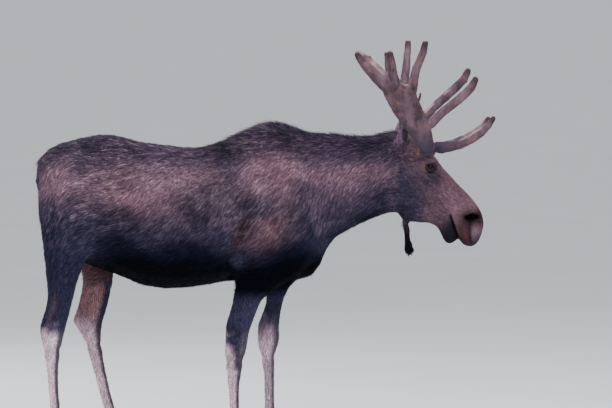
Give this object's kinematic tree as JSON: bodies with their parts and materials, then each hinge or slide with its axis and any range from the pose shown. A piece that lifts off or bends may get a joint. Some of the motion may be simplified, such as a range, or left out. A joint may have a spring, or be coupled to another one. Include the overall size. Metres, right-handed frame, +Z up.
{
  "type": "bull moose model",
  "caption": "Life-size still model of a standing bull moose in dark summer coat, with velvet antlers, ears, bell, short tail and cloven hooves; stands on its flat soles.",
  "frame": {"origin": "middle of the bounding box in X and Y, at the level of the hooves' soles", "axes": "+X towards the nose, +Y to the animal's left, +Z up"},
  "size_m": [2.3114, 0.8726, 2.179],
  "materials": {
    "coat": "short dark brown coat",
    "coat_dark": "near black long hair",
    "coat_pale": "pale grey-brown short hair of the shanks",
    "velvet": "soft brown velvet skin",
    "horn": "satin dark horn",
    "eye": "wet gloss dark brown"
  },
  "bodies": {
    "root": {"antler_brow_left": "velvet", "antler_brow_right": "velvet", "antler_fork_left": "velvet", "antler_fork_right": "velvet", "antler_left": "velvet", "antler_right": "velvet", "bell": "coat_dark", "dewclaw_fore_left_inner": "horn", "dewclaw_fore_left_outer": "horn", "dewclaw_fore_right_inner": "horn", "dewclaw_fore_right_outer": "horn", "dewclaw_hind_left_inner": "horn", "dewclaw_hind_left_outer": "horn", "dewclaw_hind_right_inner": "horn", "dewclaw_hind_right_outer": "horn", "ear_left": "coat", "ear_right": "coat", "eye_left": "eye", "eye_right": "eye", "head": "coat", "hoof_fore_left_inner": "horn", "hoof_fore_left_outer": "horn", "hoof_fore_right_inner": "horn", "hoof_fore_right_outer": "horn", "hoof_hind_left_inner": "horn", "hoof_hind_left_outer": "horn", "hoof_hind_right_inner": "horn", "hoof_hind_right_outer": "horn", "leg_fore_left_lower": "coat_pale", "leg_fore_left_upper": "coat", "leg_fore_right_lower": "coat_pale", "leg_fore_right_upper": "coat", "leg_hind_left_lower": "coat_pale", "leg_hind_left_upper": "coat", "leg_hind_right_lower": "coat_pale", "leg_hind_right_upper": "coat", "neck": "coat", "tail": "coat_dark", "trunk": "coat"}
  },
  "joints": []
}
